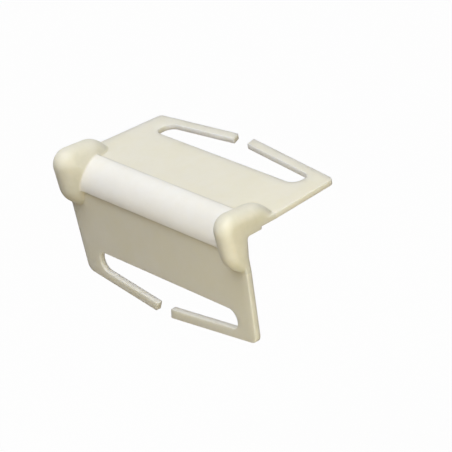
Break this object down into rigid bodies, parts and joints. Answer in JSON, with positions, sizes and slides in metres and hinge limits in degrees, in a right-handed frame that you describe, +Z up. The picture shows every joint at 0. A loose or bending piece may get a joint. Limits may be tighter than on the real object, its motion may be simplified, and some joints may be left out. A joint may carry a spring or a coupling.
{
  "type": "strapping corner protector",
  "caption": "Right-angled plastic corner protector with a rounded strap band between end bumps and a slotted, slit plate on each side, holding a strap on a load's edge",
  "frame": {"origin": "half way along the inner corner, where the edge of the load sits", "axes": "+X along the corner, +Y the way the top plate reaches, +Z up; the front plate hangs towards -Z"},
  "size_m": [0.1212, 0.0673, 0.0673],
  "materials": {
    "natural_plastic": "satin natural plastic, slightly translucent"
  },
  "bodies": {
    "root": {"corner_protector": "natural_plastic"}
  },
  "joints": []
}
